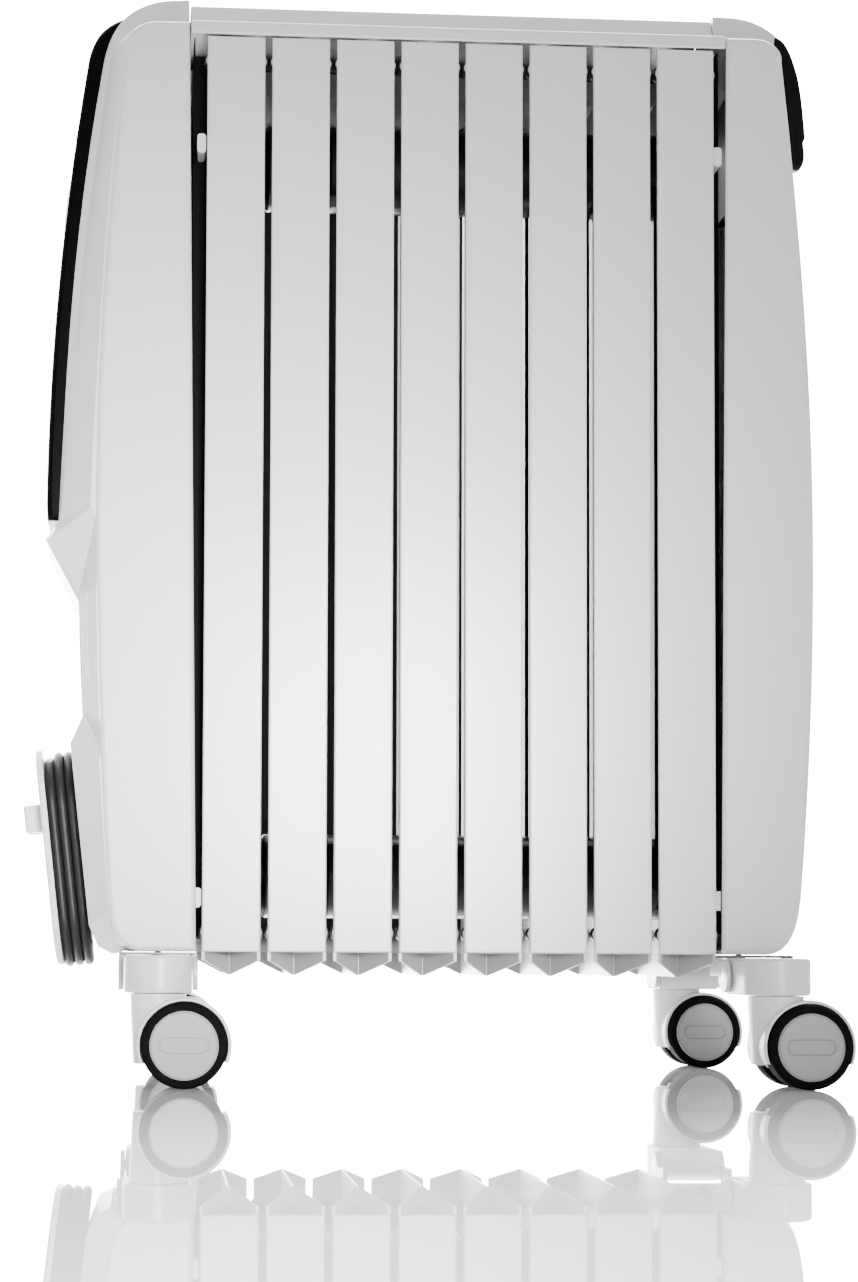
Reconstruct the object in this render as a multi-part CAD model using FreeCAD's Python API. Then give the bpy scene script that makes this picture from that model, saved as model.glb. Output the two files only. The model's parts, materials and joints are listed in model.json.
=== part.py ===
import FreeCAD, Part
import math
import os

# Oil filled radiator heater on four fold-out castor arms, in millimetres.
# X runs along the length: the control end is -X and the handle end is +X.
# Y is the depth, and Z is up from the floor that the wheels stand on.
# Places are given from the middle of the row of elements; ORIGIN_SHIFT then moves the
# whole model so that its origin is under the middle of its overall length.

ORIGIN_SHIFT = 21.11

# heating elements
ELEMENT_COUNT = 8
ELEMENT_PITCH = 40.0
PANEL_HALF_WIDTH = 17.8
PANEL_FACE_Y = 80.0
PANEL_BOTTOM = 79.0
PANEL_TOP = 643.0
SHEET = 0.7
SEAM_Y = 53.0
SEAM_BOTTOM = 65.0
FLAP_BOTTOM = 74.0
CHANNEL_COUNT = 4
CHANNEL_SPACING = 25.0
CHANNEL_RADIUS = 5.5
CHANNEL_HALF_SPAN = 5.0
HUB_LOW = 128.0
HUB_HIGH = 590.0
HUB_RADIUS = 27.0
HUB_BORE = 20.0
END_X = (ELEMENT_COUNT - 1) / 2 * ELEMENT_PITCH + ELEMENT_PITCH / 2

# covers
SHIELD_X = 165.8
SHIELD_TOP = 650.0
WALL = 2.5
EDGE_RADIUS = 3.0
BASE_Y = 52.0
RIM_Y = 47.0
COVER_BOTTOM = 79.0
FLAT_TOP = 652.0
SPINE_TOP = 679.5

# castors and their arms
WHEEL_RADIUS = 25.0
RIM_RADIUS = 19.9
TREAD_WIDTH = 15.0
HOOD_WEB = 5.5
HOOD_TOP = 54.5
TRAIL = 15.0
FRONT_STEM_X = -184.0
REAR_STEM_X = 182.5
STEM_Y = 120.0
STEM_RADIUS = 5.0
PIVOT_Y = 90.0
PIVOT_Z = 66.0
PIN_RADIUS = 4.0
BRACKET_LOW = 77.1
ARM_HALF_WIDTH = 20.25
ARM_HALF_HEIGHT = 11.0
RUNNING_GAP = 0.05
CLEARANCE = 0.5

# control panel: its outer face is an arc of large radius, upright at PANEL_ARC_Z
PANEL_ARC_X = -255.8
PANEL_ARC_Z = 345.0
PANEL_ARC_RADIUS = 1840.0
CONSOLE_DEPTH = 12.4
KNOB_Z = 555.0
KNOB_RADIUS = 23.0
SWITCH_Z = 478.0
SWITCH_Y = 12.0
ROCKER_RADIUS = 10.5
ROCKER_DEPTH = 5.0
ROCKER_THROW = 14.0
LAMP_Z = 447.0

# cord winder, in its own frame: out from the cover, across, and up the tilted face
WINDER_ORIGIN = (-231.4, 0.0, 138.4)
WINDER_TILT = 6.37
CORE_HALF_WIDTH = 22.0
CORE_TOP = 57.2
CORE_BOTTOM = -52.0
FLANGE_OUT = 19.2
FLANGE_THICKNESS = 4.2
CORD_DIAMETER = 6.2
LEAD_PLACES = [(6.5, 49.5, 14), (6.3, 49.0, -5), (5.4, 44.5, -23), (4.4, 34.0, -38)]
TAIL_PLACES = [(15.4, 20, 66), (15.6, 38, 63), (15.2, 54.5, 54),
               (14.6, 66.5, 40), (14.1, 73, 25), (14, 74, 10)]

# strain relief and plug, in the winder's frame
GLAND_Y = 49.5
GLAND_OUT = 6.5
BOOT_TOP = 40.0
BOOT_BOTTOM = 14.0
PLUG_OUT = 14.0
PLUG_Y = 74.0

# rear handle
HANDLE_HALF_WIDTH = 48.0
POCKET_LOW = (192.0, -43.5, 574.5)
POCKET_HIGH = (213.0, 43.5, 652.5)

Y_AXIS = FreeCAD.Vector(0, 1, 0)
Z_AXIS = FreeCAD.Vector(0, 0, 1)


def vector(x, y, z):
    return FreeCAD.Vector(x, y, z)


def box(low, high):
    """A box between two corners."""
    size = [b - a for a, b in zip(low, high)]
    return Part.makeBox(size[0], size[1], size[2], vector(*low))


def rod(radius, start, end):
    """A round bar between the centres of its two ends."""
    span = vector(*end) - vector(*start)
    return Part.makeCylinder(radius, span.Length, vector(*start), span)


def join(shapes):
    """One solid made of overlapping pieces."""
    result = shapes[0].multiFuse(shapes[1:]).removeSplitter()
    return result.Solids[0] if len(result.Solids) == 1 else result


def mirrored(shape):
    """The same shape on the other side of the middle plane Y = 0."""
    return shape.mirror(vector(0, 0, 0), Y_AXIS)


def both_sides(shape):
    return [shape, mirrored(shape)]


def export(node, shapes):
    """Write one sub-part: one solid, or a group of separate solids."""
    solids = shapes if isinstance(shapes, list) else [shapes]
    loose = [solid for shape in solids for solid in shape.Solids]
    body = loose[0] if len(loose) == 1 else Part.makeCompound(loose)
    body = body.translated(vector(ORIGIN_SHIFT, 0, 0))
    body.exportStep("parts/" + node + ".step")
    return body


# ---------------------------------------------------------------- outlines in X and Z

def run_edge(points, y):
    """A straight edge through two points, or a smooth one through more."""
    places = [vector(x, y, z) for x, z in points]
    if len(places) == 2:
        return Part.LineSegment(places[0], places[1]).toShape()
    curve = Part.BSplineCurve()
    curve.interpolate(places)
    return curve.toShape()


def outline(runs, y):
    return Part.Wire([run_edge(run, y) for run in runs])


def inset(runs, amount):
    """Every point of a closed outline moved inwards by the amount, mitred at corners."""
    ring = [point for run in runs for point in run[:-1]]
    area = sum(a[0] * b[1] - b[0] * a[1] for a, b in zip(ring, ring[1:] + ring[:1]))
    side = 1 if area > 0 else -1
    moved = {}
    for index, point in enumerate(ring):
        before = ring[index - 1]
        after = ring[(index + 1) % len(ring)]
        first = unit(point[0] - before[0], point[1] - before[1])
        second = unit(after[0] - point[0], after[1] - point[1])
        normal = unit(-side * (first[1] + second[1]), side * (first[0] + second[0]))
        mitre = max(0.5, abs(normal[0] * -first[1] + normal[1] * first[0]))
        step = amount / mitre
        moved[point] = (point[0] + normal[0] * step, point[1] + normal[1] * step)
    return [[moved[point] for point in run] for run in runs]


def unit(a, b):
    length = math.hypot(a, b)
    return (a / length, b / length)


def loft(sections):
    """A closed solid through (y, runs) sections that have matching runs."""
    return Part.makeLoft([outline(runs, y) for y, runs in sections], True, True)


def symmetric(sections):
    """Sections given from the outside in, repeated on the far side."""
    near = [(-y, runs) for y, runs in sections]
    far = [(y, runs) for y, runs in reversed(sections)]
    return loft(near + far)


def rounded_rim(runs, y, radius):
    """Sections that round the edge between a flat side at y and the outline's rim."""
    steps = [math.radians(angle) for angle in (0, 30, 60, 90)]
    return [(y - radius * (1 - math.cos(a)), inset(runs, radius * (1 - math.sin(a))))
            for a in steps]


# ---------------------------------------------------------------- heating elements

def triangle_prism(y_seam, half_width, y_face, bottom, top):
    points = [vector(0, y_seam, bottom), vector(half_width, y_face, bottom),
              vector(-half_width, y_face, bottom)]
    face = Part.Face(Part.makePolygon(points + points[:1]))
    return face.extrude(vector(0, 0, top - bottom))


def chimney():
    """The hollow three-sided duct behind one side panel, cut to a V at its foot."""
    outer_side = PANEL_FACE_Y - 2.0
    apex = SEAM_Y - 1.5
    duct = triangle_prism(apex, PANEL_HALF_WIDTH, outer_side, SEAM_BOTTOM, PANEL_TOP - 2)
    panel = box((-PANEL_HALF_WIDTH, outer_side, PANEL_BOTTOM),
                (PANEL_HALF_WIDTH, PANEL_FACE_Y, PANEL_TOP))
    panel = panel.makeFillet(1.2, [edge for edge in panel.Edges
                                   if abs(edge.CenterOfMass.y - PANEL_FACE_Y) < 0.1])
    half_angle = math.atan2(PANEL_HALF_WIDTH, outer_side - apex)
    hollow = triangle_prism(apex + SHEET / math.sin(half_angle), PANEL_HALF_WIDTH - 1.3,
                            PANEL_FACE_Y - 1.1, SEAM_BOTTOM - 1, PANEL_TOP + 1)
    foot_points = [vector(-30, SEAM_Y - 3, SEAM_BOTTOM - 1), vector(-30, SEAM_Y, SEAM_BOTTOM),
                   vector(-30, outer_side + 0.01, FLAP_BOTTOM), vector(-30, outer_side + 0.01, 60),
                   vector(-30, SEAM_Y - 3, 60)]
    foot = Part.Face(Part.makePolygon(foot_points + foot_points[:1])).extrude(vector(60, 0, 0))
    return duct.fuse(panel).cut(hollow).cut(foot)


def spacer_dimples():
    """Pressed bumps beside each panel that keep neighbouring elements apart."""
    bumps = []
    for z in (PANEL_BOTTOM + 12, PANEL_TOP - 15):
        for side in (-1, 1):
            bump = Part.makeSphere(5.0, vector(side * (PANEL_HALF_WIDTH - 3.0), 75.0, z))
            bumps.append(bump)
    return bumps


def heating_element():
    """Two pressed sheets welded into an oil vessel, with a chimney along each side."""
    web = box((-SHEET, -SEAM_Y, SEAM_BOTTOM), (SHEET, SEAM_Y, PANEL_TOP - 4))
    body = [web]
    oil = []
    for index in range(CHANNEL_COUNT):
        y = (index - (CHANNEL_COUNT - 1) / 2) * CHANNEL_SPACING
        for radius, target in ((CHANNEL_RADIUS, body), (CHANNEL_RADIUS - SHEET, oil)):
            half = CHANNEL_HALF_SPAN
            target.append(box((-radius, y - half, HUB_LOW - 20), (radius, y + half, HUB_HIGH + 20)))
            target.append(rod(radius, (0, y - half, HUB_LOW - 20), (0, y - half, HUB_HIGH + 20)))
            target.append(rod(radius, (0, y + half, HUB_LOW - 20), (0, y + half, HUB_HIGH + 20)))
    for z in (HUB_LOW, HUB_HIGH):
        half_pitch = ELEMENT_PITCH / 2
        drum = rod(HUB_RADIUS, (-half_pitch, 0, z), (half_pitch, 0, z))
        rims = [edge for edge in drum.Edges if edge.isClosed()]
        body.append(drum.makeChamfer(4.0, rims))
        body.append(box((-CHANNEL_RADIUS, -45, z - 13), (CHANNEL_RADIUS, 45, z + 13)))
        oil.append(box((SHEET - CHANNEL_RADIUS, -44, z - 12), (CHANNEL_RADIUS - SHEET, 44, z + 12)))
        oil.append(rod(HUB_BORE, (-half_pitch - 1, 0, z), (half_pitch + 1, 0, z)))
    vessel = join(body).cut(join(oil))
    side = join([chimney()] + spacer_dimples())
    return join([vessel] + both_sides(side))


def element_x(index):
    return (index - (ELEMENT_COUNT - 1) / 2) * ELEMENT_PITCH


def hub_plugs():
    """Discs that close the hubs of the two end elements, and the oil filler screw."""
    thickness = 2.0
    plugs = []
    for x, z, direction in ((-END_X, HUB_HIGH, -1), (END_X, HUB_HIGH, 1), (END_X, HUB_LOW, 1)):
        disc = rod(HUB_BORE + 3, (x, 0, z), (x + direction * thickness, 0, z))
        spigot = rod(HUB_BORE - 0.05, (x - direction * 4, 0, z), (x, 0, z))
        plugs.append(join([disc, spigot]))
    return plugs


def heater_flange():
    plate = rod(HUB_BORE + 5, (-END_X - 3, 0, HUB_LOW), (-END_X, 0, HUB_LOW))
    spigot = rod(HUB_BORE - 0.05, (-END_X, 0, HUB_LOW), (-END_X + 5, 0, HUB_LOW))
    plate = join([plate, spigot])
    for y in (-9, 0, 9):
        plate = plate.cut(rod(4.0, (-END_X - 4, y, HUB_LOW), (-END_X + 6, y, HUB_LOW)))
    return plate


def heating_rods():
    """Three sheathed resistance rods in the oil, along the row of lower hubs."""
    length = ELEMENT_PITCH * ELEMENT_COUNT - 30
    rods = []
    for y in (-9, 0, 9):
        sheath = rod(4.0, (-END_X - 6, y, HUB_LOW), (-END_X + length, y, HUB_LOW))
        pin = rod(1.6, (-END_X - 14, y, HUB_LOW), (-END_X - 6, y, HUB_LOW))
        rods.append(join([sheath, pin]))
    return rods


# ---------------------------------------------------------------- top cover

def spine_section(x):
    """Half of the top cover's cross-section, from the lip to the raised middle band."""
    return [vector(x, -80.5, 644.2), vector(x, -80.5, 651.4), vector(x, -79.5, 652.4),
            vector(x, -53.0, 661.5), vector(x, -51.5, 663.5), vector(x, -45.5, 676.0),
            vector(x, -43.0, 677.5)]


def top_cover():
    """Folded cover over the chimneys, with a raised middle band."""
    x_low = -167.9
    x_high = 165.4
    near = spine_section(x_low)
    far = [vector(p.x, -p.y, p.z) for p in reversed(near)]
    solid = Part.Face(Part.makePolygon(near + far + near[:1])).extrude(vector(x_high - x_low, 0, 0))
    inner = [vector(p.x - 1, p.y * 0.975, p.z - 1.8) for p in near]
    inner[0].z -= 5
    inner_far = [vector(p.x, -p.y, p.z) for p in reversed(inner)]
    room = Part.Face(Part.makePolygon(inner + inner_far + inner[:1]))
    return solid.cut(room.extrude(vector(x_high - x_low + 2, 0, 0)))


# ---------------------------------------------------------------- front cover

def front_flat_runs():
    """The cover's flat side face."""
    return [[(-161, COVER_BOTTOM), (-168.5, FLAT_TOP)],
            [(-168.5, FLAT_TOP), (-186, FLAT_TOP)],
            [(-186, FLAT_TOP), (-197.5, 650.2), (-204, 646), (-207.5, 638)],
            [(-207.5, 638), (-216.2, 540), (-223.1, 414.7), (-223.4, 310), (-219.8, 200), (-214.8, 112)],
            [(-214.8, 112), (-212.5, 96), (-206.5, 84), (-194, COVER_BOTTOM)],
            [(-194, COVER_BOTTOM), (-161, COVER_BOTTOM)]]


def front_base_runs():
    """The cover's section at BASE_Y, where its front is fullest."""
    return [[(-161, COVER_BOTTOM), (-168.5, 660.5)],
            [(-168.5, 660.5), (-186, 660.5)],
            [(-186, 660.5), (-199, 657.5), (-207.5, 651.5), (-212, 641)],
            [(-212, 641), (-225, 520), (-232.5, 400), (-234.8, 295), (-231.5, 218), (-222, 112)],
            [(-222, 112), (-218.5, 95), (-211.5, 83), (-200, COVER_BOTTOM)],
            [(-200, COVER_BOTTOM), (-161, COVER_BOTTOM)]]


def console_sections():
    """The control console that stands on the base: crease, slanted side, rim."""
    crease = [[(-190, 640), (-182, 651.5)],
              [(-182, 651.5), (-192, 650.2), (-200, 646), (-205, 640), (-208.2, 630)],
              [(-208.2, 630), (-212.6, 599), (-221.5, 485), (-226.8, 370), (-227.2, 352)],
              [(-227.2, 352), (-227.2, 349)],
              [(-227.2, 349), (-222, 342)],
              [(-222, 342), (-205, 345)],
              [(-205, 345), (-190, 640)]]
    shoulder = [[(-185, 655), (-182, 663.5)],
                [(-182, 663.5), (-198, 660.5), (-208.5, 653.5), (-215, 646), (-218.4, 634)],
                [(-218.4, 634), (-223.4, 599), (-236.2, 485), (-245.6, 359), (-246.8, 346)],
                [(-246.8, 346), (-253.4, 334)],
                [(-253.4, 334), (-233, 297)],
                [(-233, 297), (-205, 300)],
                [(-205, 300), (-185, 655)]]
    rim = [[(-185, 658), (-182, 678.8)],
           [(-182, 678.8), (-197.5, 674.6), (-209, 667), (-218, 653), (-222.4, 637)],
           [(-222.4, 637), (-228.4, 599), (-240.8, 485), (-247.4, 359), (-248, 346)],
           [(-248, 346), (-256, 335)],
           [(-256, 335), (-233.8, 294)],
           [(-233.8, 294), (-205, 298)],
           [(-205, 298), (-185, 658)]]
    return crease, shoulder, rim


def bulge_runs(y):
    """The swelling low on the front that carries the cord winder, at one of its two sections."""
    if y > 60:
        points = [(-219.5, 199), (-220.5, 194), (-214.5, 104), (-207, 88),
                  (-198, 82), (-190, 82), (-190, 199)]
    else:
        points = [(-231.5, 224), (-239, 207), (-226.5, 95), (-221, 82),
                  (-212, 77.4), (-208.5, 80), (-190, 224)]
    return [[a, b] for a, b in zip(points, points[1:] + points[:1])]


def spine_runs(x_joint, x_end, z_joint, z_end):
    """One section of the raised middle band on top of an end cover."""
    corners = [(x_joint, 650), (x_joint, z_joint), (x_end, z_end), (x_end - 6, z_end - 10), (x_end - 6, 650)]
    return [[a, b] for a, b in zip(corners, corners[1:] + corners[:1])]


def console_outer():
    crease, shoulder, rim = console_sections()
    return symmetric([(76.5, crease), (BASE_Y, shoulder), (RIM_Y, rim)])


def open_room(flat, base):
    """The space inside a cover, carried out through its open back."""
    room = symmetric([(PANEL_FACE_Y - WALL, inset(flat, WALL)), (BASE_Y, inset(base, WALL))])
    back = [face for face in room.Faces
            if abs(face.CenterOfMass.x) < 172 and abs(face.normalAt(0, 0).x) > 0.9]
    outwards = -6.0 if back[0].CenterOfMass.x > 0 else 6.0
    return join([room] + [face.extrude(vector(outwards, 0, 0)) for face in back])


def grille_slots():
    """Upright vent slots through the slanted sides of the waist."""
    slots = []
    for index in range(4):
        y = 52.0 + 3.6 * index
        slots.append(box((-242, y, 246), (-214, y + 1.7, 299)))
    return [slot for near in slots for slot in both_sides(near)]


def front_cover():
    """Open-backed moulded cover at the control end, with the console that holds the controls."""
    flat = front_flat_runs()
    base = front_base_runs()
    crease, shoulder, rim = console_sections()
    body = symmetric(rounded_rim(flat, PANEL_FACE_Y, EDGE_RADIUS) + [(BASE_Y, base)])
    console = console_outer()
    spine = symmetric([(BASE_Y, spine_runs(-168.6, -182, 663.5, 663.5)),
                       (RIM_Y, spine_runs(-168.8, -182, SPINE_TOP, 678.8))])
    bulge = symmetric([(77.0, bulge_runs(77)), (57.0, bulge_runs(57))])
    shell = join([body, console, spine, bulge])
    console_room = symmetric([(72.0, inset(crease, WALL)), (BASE_Y - 1.5, inset(shoulder, WALL)),
                              (RIM_Y - WALL, inset(rim, WALL))])
    bulge_room = symmetric([(73.0, inset(bulge_runs(77), WALL)), (56.0, inset(bulge_runs(57), WALL))])
    spine_room = box((-181, -RIM_Y + 4, 645), (-160, RIM_Y - 4, SPINE_TOP - WALL))
    for hollow in [open_room(flat, base), console_room, bulge_room, spine_room] + grille_slots():
        shell = shell.cut(hollow)
    for hole in control_holes(CLEARANCE):
        shell = shell.cut(hole)
    shell = shell.cut(cord_outlet(CORD_DIAMETER / 2 + 2.0))
    for screw in cover_screw_axes():
        shell = shell.cut(screw)
    return shell.Solids[0]


def cover_screws(stem_x):
    """Screws up through a castor bracket into the cover above it."""
    screws = []
    for y in (-40, 40):
        head = rod(4.5, (stem_x, y, BRACKET_LOW - 2.5), (stem_x, y, BRACKET_LOW))
        socket = rod(2.0, (stem_x, y, BRACKET_LOW - 3), (stem_x, y, BRACKET_LOW - 1.2))
        shank = rod(2.0, (stem_x, y, BRACKET_LOW), (stem_x, y, 86))
        screws.append(join([head, shank]).cut(socket))
    return screws


def cover_screw_axes():
    """Round holes for all the cover screws."""
    return [rod(2.0, (x, y, 70), (x, y, 90)) for x in (FRONT_STEM_X, REAR_STEM_X) for y in (-40, 40)]


# ---------------------------------------------------------------- rear cover and handle

def rear_flat_runs():
    return [[(161, COVER_BOTTOM), (165.8, FLAT_TOP)],
            [(165.8, FLAT_TOP), (184, FLAT_TOP)],
            [(184, FLAT_TOP), (193.5, 650), (199.3, 645.5), (201.6, 637)],
            [(201.6, 637), (210.2, 549.5), (218.4, 423.7), (220.2, 310), (216.8, 195), (211.5, 115)],
            [(211.5, 115), (208.6, 98), (203, 86), (190, COVER_BOTTOM)],
            [(190, COVER_BOTTOM), (161, COVER_BOTTOM)]]


def rear_base_runs():
    return [[(161, COVER_BOTTOM), (165.8, 660.5)],
            [(165.8, 660.5), (184, 660.5)],
            [(184, 660.5), (196, 658), (204, 652), (207.5, 641)],
            [(207.5, 641), (217, 549.5), (225, 423.7), (227, 310), (223.5, 195), (218, 115)],
            [(218, 115), (214.8, 98), (208.5, 85), (194, COVER_BOTTOM)],
            [(194, COVER_BOTTOM), (161, COVER_BOTTOM)]]


def rear_spine_sections():
    """The raised middle band where it runs over the rear cover to the handle."""
    foot = [[(165.8, 650), (165.8, 663.5)],
            [(165.8, 663.5), (178, 663.5)],
            [(178, 663.5), (188, 662), (196, 659), (202, 655)],
            [(202, 655), (202, 640)],
            [(202, 640), (165.8, 650)]]
    rim = [[(166, 650), (166, 679)],
           [(166, 679), (178, 678.7)],
           [(178, 678.7), (190, 676.8), (199.6, 672.8), (206.5, 668)],
           [(206.5, 668), (206.5, 640)],
           [(206.5, 640), (166, 650)]]
    return [(BASE_Y, foot), (RIM_Y, rim)]


def handle_runs():
    """Side outline of the grip and its cheeks, carried on into the cover behind."""
    return [[(206.5, 668), (212.2, 664.2), (217, 656), (220.6, 645.6), (225.2, 616), (226.4, 602.5)],
            [(226.4, 602.5), (225, 599)],
            [(225, 599), (225.7, 590), (224.6, 584.7), (221.5, 581)],
            [(221.5, 581), (205, 581)],
            [(205, 581), (196, 650)],
            [(196, 650), (206.5, 668)]]


def rear_cover_outer():
    body = symmetric(rounded_rim(rear_flat_runs(), PANEL_FACE_Y, EDGE_RADIUS) + [(BASE_Y, rear_base_runs())])
    return join([body, symmetric(rear_spine_sections())])


def rear_cover(outer):
    """Open-backed moulded cover at the far end, with a window for the handle's finger pocket."""
    shell = outer.cut(open_room(rear_flat_runs(), rear_base_runs()))
    shell = shell.cut(box((160, -RIM_Y + 4, 645), (190, RIM_Y - 4, 679 - WALL)))
    window = box((POCKET_LOW[0] - 4, POCKET_LOW[1], POCKET_LOW[2]),
                 (POCKET_HIGH[0] + 20, POCKET_HIGH[1], POCKET_HIGH[2]))
    for hole in [window] + cover_screw_axes():
        shell = shell.cut(hole)
    return max(shell.Solids, key=lambda solid: solid.Volume)


def rear_handle(outer):
    """Grip over the top corner, with cheeks at its sides and a pocket for the fingers."""
    grip = symmetric(rounded_rim(handle_runs(), HANDLE_HALF_WIDTH, 2.5)).cut(outer)
    cup = join([grip, box(POCKET_LOW, POCKET_HIGH)])
    wall = 2.0
    pocket = box((POCKET_LOW[0] + wall, POCKET_LOW[1] + wall, POCKET_LOW[2] + wall),
                 (POCKET_HIGH[0], POCKET_HIGH[1] - wall, POCKET_HIGH[2] - wall))
    half = POCKET_HIGH[1] - wall
    profile = [(211, 652), (216, 640), (219.5, 622), (221.5, 606),
               (240, 606), (240, 570), (205, 570), (205, 652)]
    points = [vector(x, -half, z) for x, z in profile]
    reach = Part.Face(Part.makePolygon(points + points[:1])).extrude(vector(0, 2 * half, 0))
    low_edge = box((205, -half, POCKET_LOW[2] - 1), (240, half, POCKET_LOW[2] + wall))
    hand_room = pocket.fuse(reach.cut(low_edge))
    return max(cup.cut(hand_room).Solids, key=lambda solid: solid.Volume)


# ---------------------------------------------------------------- controls

def panel_x(z):
    return PANEL_ARC_X + (z - PANEL_ARC_Z) ** 2 / (2 * PANEL_ARC_RADIUS)


def on_panel(shape, z):
    """Move a shape drawn with its outward axis along -X to a height on the panel's face."""
    lean = math.degrees((z - PANEL_ARC_Z) / PANEL_ARC_RADIUS)
    turned = shape.copy()
    turned.rotate(vector(0, 0, 0), Y_AXIS, lean)
    turned.translate(vector(panel_x(z), 0, z))
    return turned


def panel_runs():
    """Side outline of the glossy panel, carried on into the console behind."""
    face = [(panel_x(z), z) for z in (601, 540, 480, 420, 359)]
    return [[(-207.5, 668.2), (-214.5, 665.6), (-223, 659.6), (-229.2, 650), (-232.8, 636)],
            [(-232.8, 636)] + face,
            [face[-1], (-255.2, 347.5)],
            [(-255.2, 347.5), (-240, 347.5)],
            [(-240, 347.5), (-205, 600)],
            [(-205, 600), (-207.5, 668.2)]]


def knob_hole(radius, depth):
    return on_panel(rod(radius, (-6, 0, 0), (depth, 0, 0)), KNOB_Z)


def rocker_windows(extra):
    """Round-bottomed windows that follow the rockers' swing."""
    half = 7.0 + extra
    windows = []
    for y in (-SWITCH_Y, SWITCH_Y):
        swing = rod(ROCKER_RADIUS + extra, (ROCKER_DEPTH, y - half, 0), (ROCKER_DEPTH, y + half, 0))
        windows.append(on_panel(swing, SWITCH_Z))
    return windows


def control_panel(console):
    """Glossy cap on the front of the console."""
    side_y = RIM_Y - 0.5
    runs = panel_runs()
    cap = symmetric(rounded_rim(runs, side_y, 3.5)).cut(console)
    cap = cap.cut(symmetric([(side_y - WALL, inset(runs, WALL))]))
    holes = [knob_hole(KNOB_RADIUS + CLEARANCE, 10), on_panel(rod(3.6, (-4, 0, 0), (9, 0, 0)), LAMP_Z)]
    for hole in holes + rocker_windows(0.3):
        cap = cap.cut(hole)
    return max(cap.Solids, key=lambda solid: solid.Volume)


def control_holes(gap):
    """Holes in the console's front wall for the knob's shaft, the switch block and the lamp."""
    return [knob_hole(5.0 + gap, 30),
            on_panel(box((0, -24.5, -13), (30, 24.5, 13)), SWITCH_Z),
            on_panel(rod(3.6, (0, 0, 0), (30, 0, 0)), LAMP_Z)]


def thermostat_knob():
    """Low disc with a finger hollow in its face, on a short shaft."""
    disc = rod(KNOB_RADIUS, (-2.2, 0, 0), (6, 0, 0))
    disc = disc.makeFillet(1.4, [edge for edge in disc.Edges if abs(edge.CenterOfMass.x + 2.2) < 0.1])
    hollow = Part.makeSphere(16, vector(-16.2, 0, 12))
    shaft = rod(3.0, (5, 0, 0), (24, 0, 0))
    return on_panel(join([disc.cut(hollow), shaft]), KNOB_Z)


def thermostat():
    body = box((CONSOLE_DEPTH + 0.4, -16, -16), (CONSOLE_DEPTH + 24, 16, 16))
    body = body.makeFillet(2.0, body.Edges)
    socket = rod(3.0 + RUNNING_GAP, (0, 0, 0), (CONSOLE_DEPTH + 14, 0, 0))
    return on_panel(body.cut(socket), KNOB_Z)


def power_rocker(y):
    """A two-position rocker whose upper half stands proud at rest."""
    drum = rod(ROCKER_RADIUS, (ROCKER_DEPTH, y - 6.8, 0), (ROCKER_DEPTH, y + 6.8, 0))
    rise = 9.5 * math.tan(math.radians(ROCKER_THROW))
    keep_points = [(0.3, -12), (0.3, 0), (-rise, 9.5), (-rise - 0.6, 12), (12, 12), (12, -12)]
    keep = Part.makePolygon([vector(x, y - 8, z) for x, z in keep_points + keep_points[:1]])
    rocker = drum.common(Part.Face(keep).extrude(vector(0, 16, 0)))
    bore = rod(1.5 + RUNNING_GAP, (ROCKER_DEPTH, y - 8, 0), (ROCKER_DEPTH, y + 8, 0))
    return on_panel(rocker.cut(bore), SWITCH_Z)


def switch_block():
    """The housing behind both rockers, with the pins that they rock on."""
    body = box((3.4, -24, -12.5), (28, 24, 12.5))
    for y in (-SWITCH_Y, SWITCH_Y):
        body = body.cut(rod(ROCKER_RADIUS + 0.3, (ROCKER_DEPTH, y - 7.3, 0), (ROCKER_DEPTH, y + 7.3, 0)))
    pins = [rod(1.5, (ROCKER_DEPTH, y - 8, 0), (ROCKER_DEPTH, y + 8, 0)) for y in (-SWITCH_Y, SWITCH_Y)]
    return on_panel(join([body] + pins), SWITCH_Z)


def pilot_lamp():
    lens = rod(3.5, (-0.8, 0, 0), (22, 0, 0))
    lens = lens.makeFillet(0.7, [edge for edge in lens.Edges if abs(edge.CenterOfMass.x + 0.8) < 0.1])
    return on_panel(lens, LAMP_Z)


# ---------------------------------------------------------------- inside the covers

def heat_shield(direction):
    """Folded sheet between an end element and its cover, open round the hubs."""
    near = direction * (SHIELD_X - 0.8)
    far = direction * SHIELD_X
    wing = direction * 150.0
    web = box((min(near, far), -60, 92), (max(near, far), 60, SHIELD_TOP))
    wings = [box((min(wing, far), -60, 92), (max(wing, far), -59.2, SHIELD_TOP - 12))]
    shield = join([web] + wings + [mirrored(wings[0])])
    for z in (HUB_LOW, HUB_HIGH):
        shield = shield.cut(rod(30, (near - 12, 0, z), (near + 12, 0, z)))
    return shield


def spacer_clips():
    """Small buffers that hold the covers off the end elements."""
    clips = []
    for direction in (-1, 1):
        for z in (112, 577):
            x_low, x_high = sorted((direction * 158.4, direction * 163.7))
            clip = box((x_low, -76, z - 6), (x_high, -60.3, z + 6))
            upright = [edge for edge in clip.Edges if abs(edge.tangentAt(0).y) > 0.9]
            clips.extend(both_sides(clip.makeFillet(2.0, upright)))
    return clips


def thermal_cutout():
    """Round snap-action cut-out on the front heat shield."""
    x = -SHIELD_X
    can = rod(8.0, (x - 7, 24, 300), (x, 24, 300))
    tabs = [box((x - 13, y - 3, 296), (x - 7, y + 3, 304)) for y in (19, 29)]
    return join([can] + tabs)


def terminal_block():
    body = box((-206, 4, 142), (-190, 46, 156))
    for index in range(3):
        body = body.cut(rod(3.0, (-198, 11 + 14 * index, 150), (-198, 11 + 14 * index, 158)))
    return body


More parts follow.
